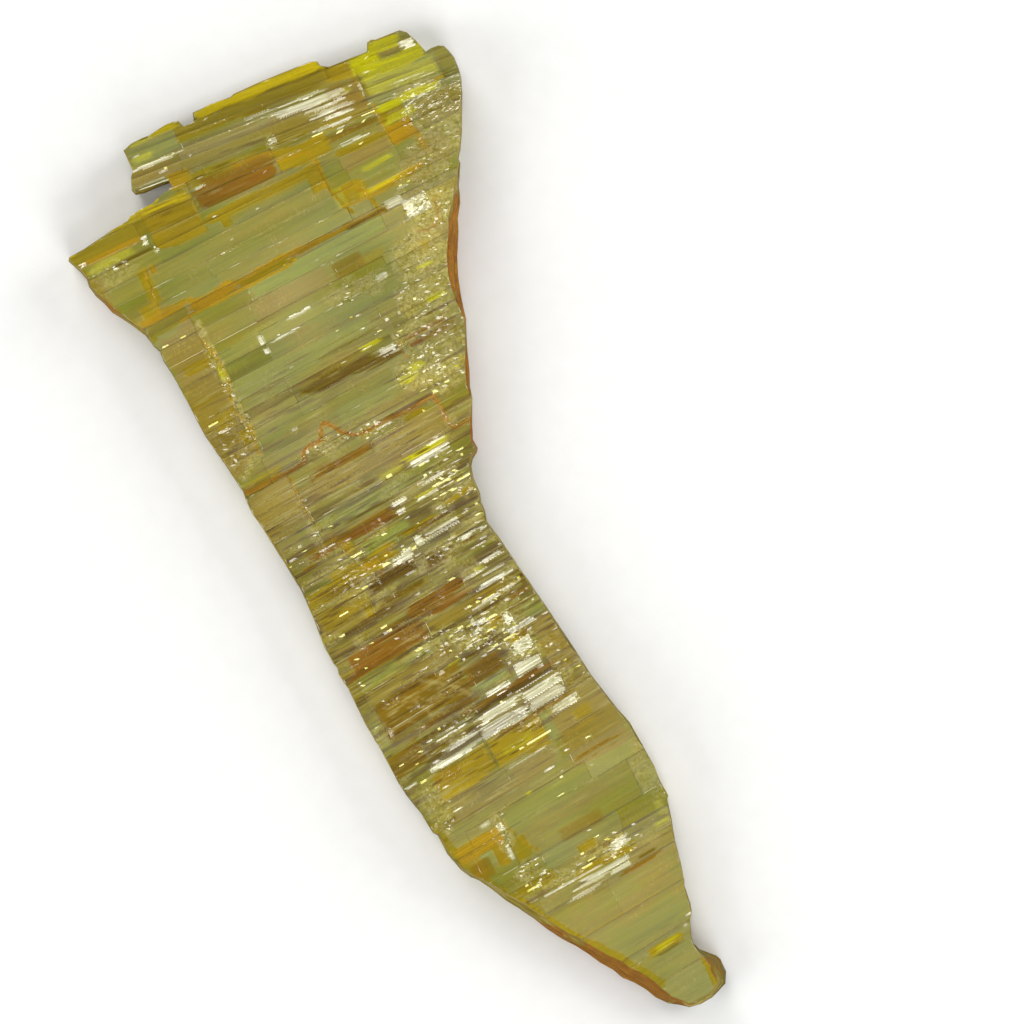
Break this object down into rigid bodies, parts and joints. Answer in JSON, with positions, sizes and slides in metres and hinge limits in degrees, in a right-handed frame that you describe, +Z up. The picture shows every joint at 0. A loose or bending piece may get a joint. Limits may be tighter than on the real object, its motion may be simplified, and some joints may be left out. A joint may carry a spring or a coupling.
{
  "type": "orpiment mineral specimen",
  "caption": "Long flat cleavage blade of golden orpiment with stepped, striated ledges, a broad broken head and a narrow tail, to lie on a shelf.",
  "frame": {"origin": "middle of the footprint, on the flat cleavage face that the blade rests on", "axes": "+X along the length towards the narrow tail, +Y across the blade along the striations, +Z up out of the striated face"},
  "size_m": [0.103, 0.0438, 0.0067],
  "materials": {
    "orpiment_blade": "resinous to pearly cleavage face"
  },
  "bodies": {
    "root": {"orpiment_blade": "orpiment_blade"}
  },
  "joints": []
}
